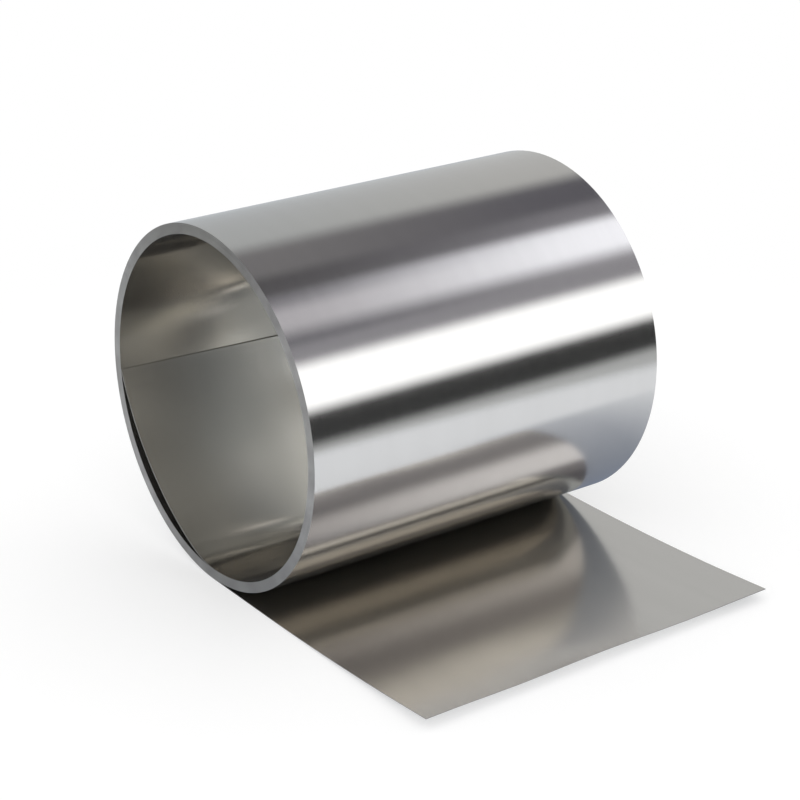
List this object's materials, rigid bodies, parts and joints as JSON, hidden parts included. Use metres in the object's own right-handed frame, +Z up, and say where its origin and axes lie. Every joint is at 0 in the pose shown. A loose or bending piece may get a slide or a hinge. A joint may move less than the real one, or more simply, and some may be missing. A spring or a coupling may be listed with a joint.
{
  "type": "stainless steel foil roll",
  "caption": "Hollow coil of bright stainless steel foil lying on its side, its free outer end run out flat on the floor and its inner end sprung loose in the bore.",
  "frame": {"origin": "on the floor, at the middle of the roll's footprint", "axes": "+X along the coil's axis and the foil's width, +Y away from the free outer end, +Z up"},
  "size_m": [0.1, 0.1292, 0.0885],
  "materials": {
    "stainless_foil": "bright cold-rolled"
  },
  "bodies": {
    "root": {"foil_roll": "stainless_foil"}
  },
  "joints": []
}
